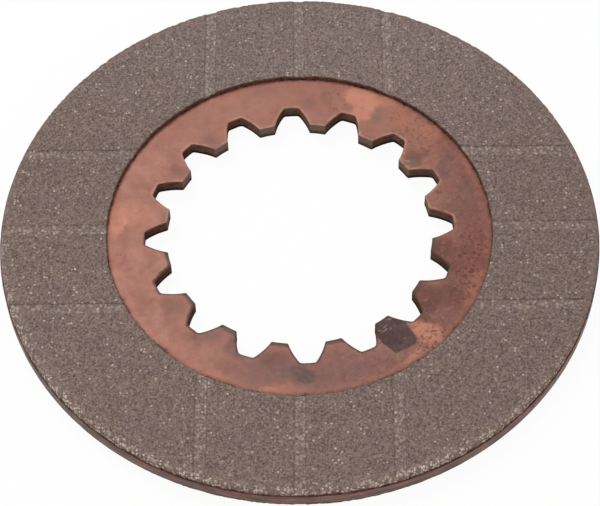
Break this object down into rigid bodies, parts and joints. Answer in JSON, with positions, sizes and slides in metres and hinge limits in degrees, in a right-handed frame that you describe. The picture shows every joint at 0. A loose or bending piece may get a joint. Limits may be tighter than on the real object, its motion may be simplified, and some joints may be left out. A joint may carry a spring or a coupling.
{
  "type": "brake disc",
  "caption": "Flat annular friction disc for an oil-bath brake: splined copper-plated steel core with a grooved sintered friction ring on each face.",
  "frame": {"origin": "on the disc's axis, in the middle of the core plate's thickness", "axes": "+Z along the disc's axis, out of the upper lining; X and Y along the two directions of the groove grid; the middle of one spline space lies 3 degrees past +Y, anticlockwise seen from +Z"},
  "size_m": [0.2, 0.2, 0.0086],
  "materials": {
    "copper_plated_steel": "stamped steel with a thin dull copper plating, tarnished, stained and scuffed",
    "sintered_lining": "granular sintered copper-alloy friction material, matt, grey-brown"
  },
  "bodies": {
    "root": {"core_plate": "copper_plated_steel", "upper_lining": "sintered_lining", "lower_lining": "sintered_lining"}
  },
  "joints": []
}
